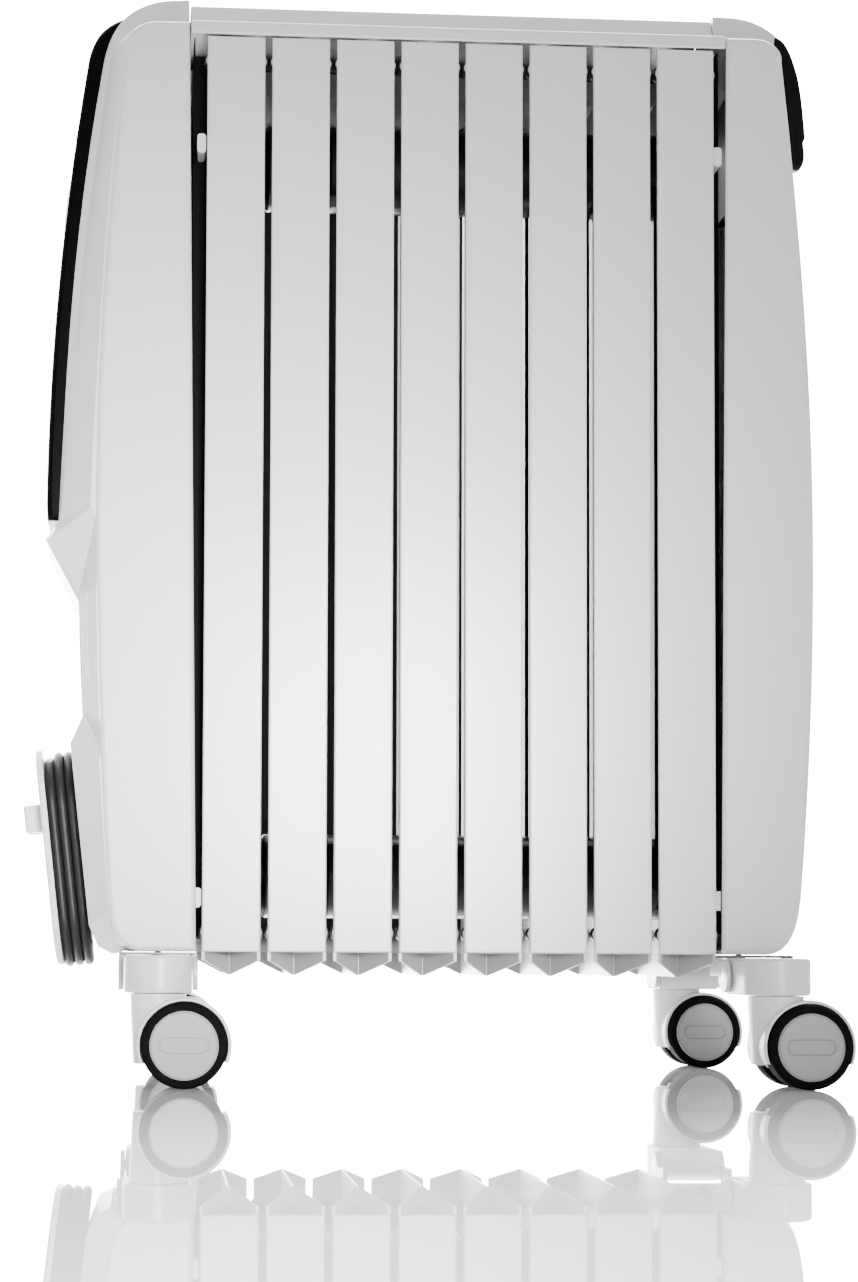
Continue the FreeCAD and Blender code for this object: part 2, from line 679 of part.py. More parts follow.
def wiring():
    """Insulated leads from the terminal block to the switches, cut-out and heating rods."""
    routes = [[(-198, 11, 150.5), (-198, 11, 430), (-214, 8, 464)],
              [(-198, 25, 150.5), (-198, 25, 170), (-186, 25, 230), (-179.5, 22, 292)],
              [(-198, 39, 150.5), (-198, 39, 168), (-190, 42, 180), (-178, 9, 128)]]
    return [tube_between(route, 1.5) for route in routes]


def tube_between(points, radius):
    """Straight round lengths with a ball at each corner."""
    pieces = [rod(radius, a, b) for a, b in zip(points, points[1:])]
    pieces += [Part.makeSphere(radius, vector(*point)) for point in points[1:-1]]
    return join(pieces)


# ---------------------------------------------------------------- cord winder and cord

def winder_point(out, across, up):
    """A point given out from the cover's face, across it and up it."""
    tilt = math.radians(WINDER_TILT)
    x = WINDER_ORIGIN[0] - out * math.cos(tilt) - up * math.sin(tilt)
    z = WINDER_ORIGIN[2] - out * math.sin(tilt) + up * math.cos(tilt)
    return vector(x, across, z)


def on_winder(shape):
    """Move a shape drawn with -X outwards and Z up to the winder's tilted face."""
    turned = shape.copy()
    turned.rotate(vector(0, 0, 0), Y_AXIS, -WINDER_TILT)
    turned.translate(vector(*WINDER_ORIGIN))
    return turned


def oval(half_width, low, high, out_low, out_high):
    """A block with half-round ends at its top and bottom."""
    straight = box((-out_high, -half_width, low + half_width), (-out_low, half_width, high - half_width))
    ends = [rod(half_width, (-out_high, 0, z), (-out_low, 0, z))
            for z in (low + half_width, high - half_width)]
    return join([straight] + ends)


def winder_core():
    core = oval(CORE_HALF_WIDTH, CORE_BOTTOM, CORE_TOP, 0, FLANGE_OUT)
    room = oval(CORE_HALF_WIDTH - WALL, CORE_BOTTOM + WALL, CORE_TOP - WALL, -1, FLANGE_OUT - WALL)
    return on_winder(core.cut(room))


def winder_flange():
    """Outer plate that keeps the cord on, with a forked rest for the plug's lead."""
    out_high = FLANGE_OUT + FLANGE_THICKNESS
    plate = box((-out_high, -37, -66), (-FLANGE_OUT, 37, 71))
    corners = [edge for edge in plate.Edges if abs(edge.tangentAt(0).x) > 0.9]
    plate = plate.makeFillet(26.0, corners)
    rims = [edge for edge in plate.Edges if abs(edge.CenterOfMass.x + out_high) < 0.1]
    plate = plate.makeFillet(1.6, rims)
    fork = box((-out_high - 11.5, -13, 19), (-out_high + 1, 13, 36.5))
    tip = [edge for edge in fork.Edges if abs(edge.CenterOfMass.x + out_high + 11.5) < 0.1]
    fork = fork.makeFillet(2.0, tip)
    notch = box((-out_high - 12, -3.6, 18), (-out_high - 1, 3.6, 38))
    return on_winder(join([plate, fork.cut(notch)]))


def cord_outlet(radius):
    """The hole that the cord comes out of, behind the top of the strain relief."""
    start = winder_point(-8, GLAND_Y, BOOT_TOP + 6)
    end = winder_point(6, GLAND_Y, BOOT_TOP + 6)
    return rod(radius, tuple(start), tuple(end))


def strain_relief():
    """Elbow gland on the cover, with a ribbed boot that points down."""
    block = box((-GLAND_OUT - 6.5, GLAND_Y - 6.5, BOOT_TOP - 1), (0, GLAND_Y + 6.5, BOOT_TOP + 13))
    block = block.makeFillet(2.0, [edge for edge in block.Edges if edge.CenterOfMass.x < -GLAND_OUT - 6])
    boot = Part.makeCone(3.9, 5.6, BOOT_TOP - BOOT_BOTTOM, vector(-GLAND_OUT, GLAND_Y, BOOT_BOTTOM), Z_AXIS)
    for index in range(5):
        z = BOOT_BOTTOM + 4 + 4.4 * index
        groove = rod(8, (-GLAND_OUT, GLAND_Y, z), (-GLAND_OUT, GLAND_Y, z + 1.2))
        groove = groove.cut(rod(3.7, (-GLAND_OUT, GLAND_Y, z), (-GLAND_OUT, GLAND_Y, z + 1.2)))
        boot = boot.cut(groove)
    spigot = rod(CORD_DIAMETER / 2 + 2.0, (0, GLAND_Y, BOOT_TOP + 6), (4, GLAND_Y, BOOT_TOP + 6))
    return on_winder(join([block, boot, spigot]))


def rounded_route(points):
    """Straight runs joined by tangent arcs as large as the runs beside them allow."""
    edges = []
    start = points[0]
    radii = []
    for before, corner, after in zip(points, points[1:], points[2:]):
        incoming = (corner - before)
        outgoing = (after - corner)
        turn = incoming.getAngle(outgoing)
        trim = 0.45 * min(incoming.Length, outgoing.Length)
        radii.append(trim / math.tan(turn / 2))
        first = corner - incoming.normalize() * trim
        last = corner + outgoing.normalize() * trim
        inner = (incoming - outgoing) * -1
        middle = corner + inner.normalize() * (radii[-1] / math.cos(turn / 2) - radii[-1])
        edges.append(Part.LineSegment(start, first).toShape())
        edges.append(Part.Arc(first, middle, last).toShape())
        start = last
    edges.append(Part.LineSegment(start, points[-1]).toShape())
    return Part.Wire(edges), radii


def cord_tube(name, places):
    """A length of the cord's sheath along hand-chosen points on the winder."""
    points = [winder_point(*place) for place in places]
    path, radii = rounded_route(points)
    ring = Part.Wire(Part.makeCircle(CORD_DIAMETER / 2, points[0], points[1] - points[0]))
    tube = path.makePipeShell([ring], True, True)
    expected = math.pi * (CORD_DIAMETER / 2) ** 2 * path.Length
    print(name, "length", round(path.Length, 1), "radii", [round(r, 1) for r in radii],
          "volume ratio", round(tube.Volume / expected, 4))
    return tube


def cord_winding():
    """The outer shape of all the turns round the winder's core."""
    reach = oval(39.5, -70.8, 70.6, 0.3, 18.9)
    return on_winder(reach.cut(oval(23.6, -56, 57.3, -1, 20)))


def plug():
    """Moulded two-pin mains plug that hangs by its lead beside the winder."""
    def turned(top_radius, low_radius, high, low):
        return Part.makeCone(low_radius, top_radius, high - low, vector(-PLUG_OUT, PLUG_Y, low), Z_AXIS)
    sleeve = turned(4.4, 6.0, 10, -8)
    shoulder = turned(9.0, 13.5, -8, -20)
    grip = turned(13.5, 17.5, -20, -32)
    face = rod(18.5, (-PLUG_OUT, PLUG_Y, -38), (-PLUG_OUT, PLUG_Y, -32))
    body = join([sleeve, shoulder, grip, face])
    flats = [box((-PLUG_OUT - 30, PLUG_Y - 30, -39), (-PLUG_OUT - 8.5, PLUG_Y + 30, -7)),
             box((-PLUG_OUT + 8.5, PLUG_Y - 30, -39), (-PLUG_OUT + 30, PLUG_Y + 30, -7))]
    for flat in flats:
        body = body.cut(flat)
    return on_winder(body)


def plug_pins():
    pins = []
    for y in (-9.5, 9.5):
        pin = rod(2.4, (-PLUG_OUT, PLUG_Y + y, -56), (-PLUG_OUT, PLUG_Y + y, -38))
        tip = [edge for edge in pin.Edges if abs(edge.CenterOfMass.z + 56) < 0.1]
        pins.append(on_winder(pin.makeFillet(1.2, tip)))
    return pins


# ---------------------------------------------------------------- castors

def hinge_rod(radius, stem_x, side, half):
    """A round length on an arm's hinge axis."""
    y = side * PIVOT_Y
    return rod(radius, (stem_x - half, y, PIVOT_Z), (stem_x + half, y, PIVOT_Z))


def castor_bracket(stem_x):
    """Bent plate under a cover, with two pairs of ears for the arms' pins."""
    half = ARM_HALF_WIDTH + CLEARANCE + 3.0
    plate = box((stem_x - half, -78, BRACKET_LOW), (stem_x + half, 78, BRACKET_LOW + 1.6))
    ears = []
    for side in (-1, 1):
        x_low, x_high = sorted((stem_x + side * (ARM_HALF_WIDTH + CLEARANCE), stem_x + side * half))
        eye = rod(10.0, (x_low, -PIVOT_Y, PIVOT_Z), (x_high, -PIVOT_Y, PIVOT_Z))
        neck = box((x_low, -PIVOT_Y, PIVOT_Z), (x_high, -62, PIVOT_Z + 10))
        cheek = box((x_low, -78, PIVOT_Z), (x_high, -62, BRACKET_LOW + 1.6))
        ears.extend(both_sides(join([eye, neck, cheek])))
    bracket = join([plate] + ears)
    for side in (-1, 1):
        bracket = bracket.cut(hinge_rod(PIN_RADIUS, stem_x, side, half + 1))
    for hole in cover_screw_axes():
        bracket = bracket.cut(hole)
    return bracket


def arm_pin(stem_x, side):
    return hinge_rod(PIN_RADIUS, stem_x, side, ARM_HALF_WIDTH + CLEARANCE + 3.0)


def castor_arm(stem_x, side):
    """Fold-out arm: round about its hinge pin inside, and about the castor stem outside."""
    low = PIVOT_Z - ARM_HALF_HEIGHT
    high = PIVOT_Z + ARM_HALF_HEIGHT
    half = ARM_HALF_WIDTH
    outer_end = rod(half, (stem_x, -STEM_Y, low), (stem_x, -STEM_Y, high))
    middle = box((stem_x - half, -STEM_Y, low), (stem_x + half, -PIVOT_Y, high))
    slab = join([outer_end, middle])
    outer_edges = [edge for edge in slab.Edges if edge.CenterOfMass.y < -PIVOT_Y - 1]
    rims = [edge for edge in outer_edges
            if min(abs(edge.CenterOfMass.z - low), abs(edge.CenterOfMass.z - high)) < 0.1]
    slab = slab.makeFillet(2.0, rims)
    arm = join([slab, hinge_rod(ARM_HALF_HEIGHT, stem_x, -1, half)])
    arm = arm.cut(hinge_rod(PIN_RADIUS + RUNNING_GAP, stem_x, -1, 30))
    arm = arm.cut(rod(STEM_RADIUS + RUNNING_GAP, (stem_x, -STEM_Y, low - 1), (stem_x, -STEM_Y, high - 3)))
    return arm if side < 0 else mirrored(arm)


def castor_stem(x, y):
    return rod(STEM_RADIUS, (x, y, HOOD_TOP - 14), (x, y, PIVOT_Z + ARM_HALF_HEIGHT - 4))


def castor_hood(x, y):
    """Housing round the stem with a web between the wheels and a roof over them."""
    axle_x = x + TRAIL
    axle_z = WHEEL_RADIUS
    half_width = HOOD_WEB + TREAD_WIDTH - 2.0
    column = Part.makeCone(14.4, 16.4, HOOD_TOP - 14, vector(x, y, 14), Z_AXIS)
    roof = rod(WHEEL_RADIUS + 2.6, (axle_x, y - half_width, axle_z), (axle_x, y + half_width, axle_z))
    roof = roof.makeFillet(1.2, [edge for edge in roof.Edges if edge.isClosed()])
    roof = roof.cut(box((axle_x - 40, y - 30, -10), (axle_x + 40, y + 30, 15)))
    web = box((axle_x - 40, y - HOOD_WEB, 12), (axle_x + 40, y + HOOD_WEB, 60))
    disc = rod(WHEEL_RADIUS - 2, (axle_x, y - HOOD_WEB, axle_z), (axle_x, y + HOOD_WEB, axle_z))
    body = join([column, roof, disc.common(web)])
    for low, high in ((HOOD_WEB, 40), (-40, -HOOD_WEB)):
        body = body.cut(rod(WHEEL_RADIUS + 0.8, (axle_x, y + low, axle_z), (axle_x, y + high, axle_z)))
    body = body.cut(rod(4.0 + RUNNING_GAP, (axle_x, y - 20, axle_z), (axle_x, y + 20, axle_z)))
    body = body.cut(rod(STEM_RADIUS, (x, y, HOOD_TOP - 14), (x, y, HOOD_TOP + 1)))
    return max(body.Solids, key=lambda solid: solid.Volume)


def castor_wheels(x, y):
    """Two wheels with flat hub caps, on one axle."""
    axle_x = x + TRAIL
    inner = HOOD_WEB + CLEARANCE
    outer = inner + TREAD_WIDTH
    pieces = [rod(4.0, (axle_x, y - inner, WHEEL_RADIUS), (axle_x, y + inner, WHEEL_RADIUS))]
    for side in (-1, 1):
        start = (axle_x, y + side * inner, WHEEL_RADIUS)
        end = (axle_x, y + side * outer, WHEEL_RADIUS)
        face = (axle_x, y + side * (outer + 0.9), WHEEL_RADIUS)
        pieces.append(rod(RIM_RADIUS, start, end))
        cap = rod(RIM_RADIUS - 0.3, end, face)
        rim = [edge for edge in cap.Edges if abs(edge.CenterOfMass.y - face[1]) < 0.1]
        pieces.append(cap.makeFillet(0.6, rim))
    return join(pieces)


def castor_tyres(x, y):
    axle_x = x + TRAIL
    inner = HOOD_WEB + CLEARANCE
    tyres = []
    for side in (-1, 1):
        start = (axle_x, y + side * inner, WHEEL_RADIUS)
        end = (axle_x, y + side * (inner + TREAD_WIDTH), WHEEL_RADIUS)
        ring = rod(WHEEL_RADIUS, start, end)
        ring = ring.makeFillet(1.8, [edge for edge in ring.Edges if edge.isClosed()])
        tyres.append(ring.cut(rod(RIM_RADIUS, start, end)))
    return tyres


# ---------------------------------------------------------------- the whole heater

def corner_places():
    """The four castors: name, stem X, and side (-1 near, +1 far)."""
    return [("front_near", FRONT_STEM_X, -1), ("front_far", FRONT_STEM_X, 1),
            ("rear_near", REAR_STEM_X, -1), ("rear_far", REAR_STEM_X, 1)]


def build():
    element = heating_element()
    nodes = {"element_" + str(index + 1): element.translated(vector(element_x(index), 0, 0))
             for index in range(ELEMENT_COUNT)}
    nodes["hub_plugs"] = hub_plugs()
    nodes["heater_flange"] = heater_flange()
    nodes["heating_rods"] = heating_rods()
    nodes["top_cover"] = top_cover()
    nodes["front_cover"] = front_cover()
    outer = rear_cover_outer()
    nodes["rear_cover"] = rear_cover(outer)
    nodes["rear_handle"] = rear_handle(outer)
    nodes["control_panel"] = control_panel(console_outer())
    nodes["thermostat_knob"] = thermostat_knob()
    nodes["thermostat"] = thermostat()
    nodes["power_rocker_1"] = power_rocker(-SWITCH_Y)
    nodes["power_rocker_2"] = power_rocker(SWITCH_Y)
    nodes["switch_block"] = switch_block()
    nodes["pilot_lamp"] = pilot_lamp()
    nodes["front_heat_shield"] = heat_shield(-1)
    nodes["rear_heat_shield"] = heat_shield(1)
    nodes["spacer_clips"] = spacer_clips()
    nodes["thermal_cutout"] = thermal_cutout()
    nodes["terminal_block"] = terminal_block()
    nodes["wiring"] = wiring()
    nodes["winder_core"] = winder_core()
    nodes["winder_flange"] = winder_flange()
    nodes["strain_relief"] = strain_relief()
    nodes["cord_lead"] = cord_tube("cord_lead", LEAD_PLACES)
    nodes["cord_winding"] = cord_winding()
    nodes["cord_tail"] = cord_tube("cord_tail", TAIL_PLACES)
    nodes["plug"] = plug()
    nodes["plug_pins"] = plug_pins()
    nodes["cover_screws"] = cover_screws(FRONT_STEM_X) + cover_screws(REAR_STEM_X)
    nodes["castor_brackets"] = [castor_bracket(FRONT_STEM_X), castor_bracket(REAR_STEM_X)]
    nodes["arm_pins"] = [arm_pin(stem_x, side) for name, stem_x, side in corner_places()]
    for name, stem_x, side in corner_places():
        nodes["arm_" + name] = castor_arm(stem_x, side)
        nodes["stem_" + name] = castor_stem(stem_x, side * STEM_Y)
        nodes["hood_" + name] = castor_hood(stem_x, side * STEM_Y)
        nodes["wheels_" + name] = castor_wheels(stem_x, side * STEM_Y)
        nodes["tyres_" + name] = castor_tyres(stem_x, side * STEM_Y)
    return nodes


def main():
    os.makedirs("parts", exist_ok=True)
    for node, shapes in build().items():
        export(node, shapes)


main()
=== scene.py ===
import json
import math

import bmesh
import bpy
from mathutils import Matrix, Vector


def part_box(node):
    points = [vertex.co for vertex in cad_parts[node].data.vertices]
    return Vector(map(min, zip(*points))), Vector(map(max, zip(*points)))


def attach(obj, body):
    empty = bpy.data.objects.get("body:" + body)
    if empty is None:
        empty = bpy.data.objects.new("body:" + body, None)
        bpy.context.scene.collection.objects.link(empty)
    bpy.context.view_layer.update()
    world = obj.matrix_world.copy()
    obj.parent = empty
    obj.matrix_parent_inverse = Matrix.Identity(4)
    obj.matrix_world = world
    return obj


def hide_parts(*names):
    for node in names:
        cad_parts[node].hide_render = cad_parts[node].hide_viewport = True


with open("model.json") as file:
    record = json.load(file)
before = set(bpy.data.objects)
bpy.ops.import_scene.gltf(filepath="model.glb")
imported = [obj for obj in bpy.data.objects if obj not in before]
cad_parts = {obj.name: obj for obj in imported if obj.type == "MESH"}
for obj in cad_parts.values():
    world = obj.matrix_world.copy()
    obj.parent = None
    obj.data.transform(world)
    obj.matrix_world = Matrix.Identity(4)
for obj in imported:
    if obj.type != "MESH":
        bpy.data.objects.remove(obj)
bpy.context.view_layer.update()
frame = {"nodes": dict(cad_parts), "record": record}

# Places are in metres: X from the control end to the handle end, Y away from the camera, Z up from the floor.

# camera, with its angles in degrees
CAMERA_PLACE = (-0.1684, -1.3677, 0.0791)
CAMERA_LENS = 59.75
CAMERA_YAW = 3.21
CAMERA_PITCH = 2.45
CAMERA_ROLL = 0.32
CAMERA_SHIFT = (0.1248, 0.1716)

# cord winder: a tilted frame of out from the cover, across and up
WINDER_PLACE = Vector((-0.21029, 0, 0.1384))
WINDER_TILT = math.radians(6.37)
CORD_DIAMETER = 0.0062

# turns of the cord: half rounds at top and bottom with straights between, each turn as (out, radius).
# A crossing is where the cord steps to the next turn's place, in parts of a turn.
COIL_TOP = 0.0337
COIL_BOTTOM = -0.0324
COIL_TURNS = [(0.0034, 0.0329), (0.0034, 0.0267), (0.0096, 0.0267), (0.0096, 0.0329), (0.0157, 0.0329)]
COIL_CROSSINGS = [(0.24, 0.36), (0.16, 0.27), (0.09, 0.19), (0.02, 0.12)]
COIL_START = 0.40
COIL_END = 4.98
COIL_STEPS = 36
COIL_SWAY = 0.0003

# control panel: an arc of large radius, upright at PANEL_ARC_Z
PANEL_ARC_X = -0.23469
PANEL_ARC_Z = 0.345
PANEL_ARC_RADIUS = 1.84
KNOB_Z = 0.555
SWITCH_Z = 0.478

# panel markings, with the scale's turn in degrees
MARK_RISE = 0.00015
SCALE_MARKS = 21
SCALE_TURN = 300
SCALE_RADIUS = 0.0275

# hub caps: raised outlines as (half width, half height, corner)
CAP_OUTLINE = (0.0145, 0.0048, 0.0046)
CAP_RIM = (0.0192, 0.0192, 0.0191)

# studio
FLOOR_GLOW = 1.3
FLOOR_GLOW_START = -0.3
FLOOR_GLOW_END = -0.95
FLOOR_REACH = 12
BACKDROP_Y = 3.2
BACKDROP_SIDES = (-2.6, 2.0)
BACKDROP_HEIGHTS = (-0.1, 2.6)

# base color of the painted shade on surfaces deep in the gaps, to match how dark the photo shows them
GAP_PAINTED_SHADE = (0.006, 0.006, 0.006)

CORNERS = ("front_near", "front_far", "rear_near", "rear_far")


# ---------------------------------------------------------------- materials

def new_material(name, color, roughness, metallic=0.0):
    """A plain principled material, its nodes and its main shader."""
    material = bpy.data.materials.new(name)
    material.use_nodes = True
    nodes = material.node_tree.nodes
    shader = nodes["Principled BSDF"]
    shader.inputs["Base Color"].default_value = (*color, 1)
    shader.inputs["Roughness"].default_value = roughness
    shader.inputs["Metallic"].default_value = metallic
    return material, nodes, shader


def add_grain(material, nodes, shader, scale, depth, strength):
    """A fine surface texture as a bump."""
    links = material.node_tree.links
    place = nodes.new("ShaderNodeTexCoord")
    noise = nodes.new("ShaderNodeTexNoise")
    noise.inputs["Scale"].default_value = scale
    noise.inputs["Detail"].default_value = 2.0
    bump = nodes.new("ShaderNodeBump")
    bump.inputs["Strength"].default_value = strength
    bump.inputs["Distance"].default_value = depth
    links.new(place.outputs["Object"], noise.inputs["Vector"])
    links.new(noise.outputs["Fac"], bump.inputs["Height"])
    links.new(bump.outputs["Normal"], shader.inputs["Normal"])


def step_along(material, nodes, axis, start, end, mirrored):
    """A value that goes from 0 at one place along an axis to 1 at another."""
    links = material.node_tree.links
    place = nodes.new("ShaderNodeTexCoord")
    parts = nodes.new("ShaderNodeSeparateXYZ")
    links.new(place.outputs["Object"], parts.inputs["Vector"])
    value = parts.outputs[axis]
    if mirrored:
        distance = nodes.new("ShaderNodeMath")
        distance.operation = "ABSOLUTE"
        links.new(value, distance.inputs[0])
        value = distance.outputs["Value"]
    ramp = nodes.new("ShaderNodeMapRange")
    ramp.inputs["From Min"].default_value = start
    ramp.inputs["From Max"].default_value = end
    links.new(value, ramp.inputs["Value"])
    return ramp.outputs["Result"]


def recolor(material, nodes, shader, color, steps):
    """Painted shade: another base color where every step is at 1. A step is (axis, place of 0, place of 1,
    mirrored).
    """
    links = material.node_tree.links
    base = shader.inputs["Base Color"]
    inside = step_along(material, nodes, *steps[0])
    for step in steps[1:]:
        both = nodes.new("ShaderNodeMath")
        both.operation = "MULTIPLY"
        links.new(inside, both.inputs[0])
        links.new(step_along(material, nodes, *step), both.inputs[1])
        inside = both.outputs["Value"]
    blend = nodes.new("ShaderNodeMix")
    blend.data_type = "RGBA"
    blend.inputs["A"].default_value = base.default_value
    if base.is_linked:
        links.new(base.links[0].from_socket, blend.inputs["A"])
    blend.inputs["B"].default_value = (*color, 1)
    links.new(inside, blend.inputs["Factor"])
    links.new(blend.outputs["Result"], base)


def enamel(name):
    """White stove enamel with a faint orange-peel skin."""
    material, nodes, shader = new_material(name, (0.6, 0.6, 0.6), 0.3)
    shader.inputs["Coat Weight"].default_value = 0.3
    shader.inputs["Coat Roughness"].default_value = 0.2
    add_grain(material, nodes, shader, 260.0, 0.0003, 0.06)
    return material, nodes, shader


def element_enamel():
    """The fins' enamel, with painted shade: grey on the feet, and nearly black deep in the gaps."""
    material, nodes, shader = enamel("enamel")
    # painted shade on the feet below the panels
    recolor(material, nodes, shader, (0.34, 0.34, 0.34), [("Z", 0.0795, 0.0785, False)])
    # painted shade, nearly black, on the fins' sides deep in the gaps
    recolor(material, nodes, shader, GAP_PAINTED_SHADE,
            [("Y", 0.0786, 0.0779, True), ("Z", 0.082, 0.09, False)])
    return material


def bracket_enamel():
    """The castor brackets' enamel, with painted shade where the plate lies under a cover."""
    material, nodes, shader = enamel("bracket_enamel")
    # painted shade, nearly black, on the plate under the cover
    recolor(material, nodes, shader, GAP_PAINTED_SHADE, [("Z", 0.0766, 0.077, False)])
    return material


def white_plastic(name):
    """Satin white moulding with a very fine grain."""
    material, nodes, shader = new_material(name, (0.62, 0.62, 0.62), 0.33)
    shader.inputs["Coat Weight"].default_value = 0.2
    shader.inputs["Coat Roughness"].default_value = 0.2
    add_grain(material, nodes, shader, 900.0, 0.0002, 0.1)
    return material, nodes, shader


def cover_plastic():
    """The end covers' white, with painted shade inside their open ends."""
    material, nodes, shader = white_plastic("white_plastic")
    # painted shade, nearly black, inside the covers' open ends
    recolor(material, nodes, shader, GAP_PAINTED_SHADE,
            [("Y", 0.0787, 0.0781, True), ("Z", 0.081, 0.083, False), ("Z", 0.651, 0.649, False),
             ("X", -0.170, -0.168, False), ("X", 0.204, 0.202, False)])
    return material


def top_cover_plastic():
    """The top cover's white, with painted shade under its roof."""
    material, nodes, shader = white_plastic("top_cover_plastic")
    # painted shade, dark grey, under the top cover's roof
    recolor(material, nodes, shader, (0.05, 0.05, 0.05),
            [("Y", 0.0449, 0.0447, True), ("Z", 0.6763, 0.6761, False)])
    return material


def hood_plastic():
    material, nodes, shader = new_material("hood_plastic", (0.7, 0.7, 0.7), 0.33)
    add_grain(material, nodes, shader, 900.0, 0.0002, 0.1)
    return material


def hub_cap_plastic():
    """The hub caps' plastic, darker than the housings as painted shade, to match the photo's tone."""
    material, nodes, shader = new_material("hub_cap_plastic", (0.3, 0.3, 0.3), 0.42)
    add_grain(material, nodes, shader, 700.0, 0.0002, 0.08)
    return material


def hub_cap_line():
    # painted shade: the raised lines on the hub caps are darker than the caps, standing in for the shade
    # along their sides
    return new_material("hub_cap_line", (0.21, 0.21, 0.21), 0.42)[0]


def black_plastic():
    """Fine-grained matt black moulding."""
    material, nodes, shader = new_material("black_plastic", (0.003, 0.003, 0.0035), 0.42)
    shader.inputs["Specular IOR Level"].default_value = 0.1
    add_grain(material, nodes, shader, 1400.0, 0.0003, 0.25)
    return material


def gloss_black():
    material, nodes, shader = new_material("gloss_black", (0.0015, 0.0015, 0.002), 0.22)
    shader.inputs["Specular IOR Level"].default_value = 0.06
    return material


def knob_plastic():
    material, nodes, shader = new_material("knob_plastic", (0.022, 0.022, 0.024), 0.28)
    add_grain(material, nodes, shader, 900.0, 0.0002, 0.1)
    return material


def dark_plastic():
    material, nodes, shader = new_material("dark_plastic", (0.05, 0.05, 0.055), 0.5)
    add_grain(material, nodes, shader, 900.0, 0.0003, 0.2)
    return material


def shield_paint():
    material, nodes, shader = new_material("shield_paint", (0.004, 0.004, 0.004), 0.7)
    shader.inputs["Specular IOR Level"].default_value = 0.08
    add_grain(material, nodes, shader, 500.0, 0.0003, 0.2)
    return material


def tyre_rubber():
    material, nodes, shader = new_material("tyre_rubber", (0.002, 0.002, 0.002), 0.7)
    shader.inputs["Specular IOR Level"].default_value = 0.06
    add_grain(material, nodes, shader, 1100.0, 0.0003, 0.2)
    return material


def cord_sheath():
    """Satin dark grey sheath."""
    material, nodes, shader = new_material("cord_sheath", (0.012, 0.012, 0.0125), 0.45)
    shader.inputs["Specular IOR Level"].default_value = 0.25
    add_grain(material, nodes, shader, 1600.0, 0.0002, 0.2)
    return material


def zinc_plate():
    """Plated steel with a faint brushed grain."""
    material, nodes, shader = new_material("zinc_plate", (0.56, 0.56, 0.57), 0.32, 1.0)
    add_grain(material, nodes, shader, 700.0, 0.0002, 0.15)
    return material


def brass():
    material, nodes, shader = new_material("brass", (0.75, 0.56, 0.27), 0.3, 1.0)
    add_grain(material, nodes, shader, 700.0, 0.0002, 0.15)
    return material


def lamp_lens():
    material, nodes, shader = new_material("lamp_lens", (0.5, 0.03, 0.02), 0.12)
    shader.inputs["Transmission Weight"].default_value = 0.35
    return material


def marking_ink():
    return new_material("marking_ink", (0.7, 0.7, 0.7), 0.4)[0]


def floor_finish():
    """Mirror-polished pale floor, half metallic, that glows towards the camera's side."""
    material, nodes, shader = new_material("floor_finish", (0.88, 0.875, 0.865), 0.012, 0.5)
    glow = step_along(material, nodes, "Y", FLOOR_GLOW_START, FLOOR_GLOW_END, False)
    strength = nodes.new("ShaderNodeMath")
    strength.operation = "MULTIPLY_ADD"
    strength.inputs[1].default_value = FLOOR_GLOW
    strength.inputs[2].default_value = 0.1
    material.node_tree.links.new(glow, strength.inputs[0])
    material.node_tree.links.new(strength.outputs["Value"], shader.inputs["Emission Strength"])
    shader.inputs["Emission Color"].default_value = (1, 1, 1, 1)
    return material


def backdrop_glow():
    """White backdrop that glows, bright enough to show white in the floor."""
    material, nodes, shader = new_material("backdrop_glow", (0.9, 0.9, 0.9), 0.6)
    shader.inputs["Emission Color"].default_value = (1, 1, 1, 1)
    shader.inputs["Emission Strength"].default_value = 24.0
    return material


def paint(obj, material):
    """Give a piece one material, as a slot on the object, so that its mesh data stay as they are."""
    if not obj.material_slots:
        obj.data.materials.append(material)
    for part in obj.material_slots:
        part.link = "OBJECT"
        part.material = material


def paint_by_slot():
    """Every CAD node takes the finish of its material slot in the record, but for a few with their own."""
    finishes = {
        "enamelled_steel": element_enamel(),
        "white_plastic": cover_plastic(),
        "black_plastic": black_plastic(),
        "gloss_black_panel": gloss_black(),
        "knob_plastic": knob_plastic(),
        "dark_plastic": dark_plastic(),
        "lamp_lens": lamp_lens(),
        "shield_steel": shield_paint(),
        "brass_parts": brass(),
        "plated_steel": zinc_plate(),
        "cord_sheath": cord_sheath(),
        "hub_cap_plastic": hub_cap_plastic(),
        "tyre": tyre_rubber(),
    }
    slots = {part["node"]: part["material_slot"] for part in frame["record"]["subparts"]}
    for node, obj in frame["nodes"].items():
        paint(obj, finishes[slots[node]])
    hood = hood_plastic()
    for node in ["spacer_clips"] + ["hood_" + corner for corner in CORNERS]:
        paint(frame["nodes"][node], hood)
    paint(frame["nodes"]["castor_brackets"], bracket_enamel())
    paint(frame["nodes"]["top_cover"], top_cover_plastic())
    return finishes


# ---------------------------------------------------------------- building helpers

def soften_edges(node, width, segments=3):
    """Round a node's sharp edges with modifiers, which leave its mesh as it is."""
    obj = frame["nodes"][node]
    weld = obj.modifiers.new("weld", "WELD")
    weld.merge_threshold = 0.00001
    bevel = obj.modifiers.new("soft edges", "BEVEL")
    bevel.width = width
    bevel.segments = segments
    bevel.limit_method = "ANGLE"
    bevel.angle_limit = math.radians(38)
    bevel.harden_normals = True


def add_mesh(name, mesh, material):
    """A mesh as an object of the scene, with its material."""
    data = bpy.data.meshes.new(name)
    mesh.to_mesh(data)
    mesh.free()
    data.materials.append(material)
    obj = bpy.data.objects.new(name, data)
    bpy.context.scene.collection.objects.link(obj)
    return obj


def mesh_piece(name, mesh, material, body):
    """A mesh as a piece that moves with a body."""
    obj = add_mesh(name, mesh, material)
    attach(obj, body)


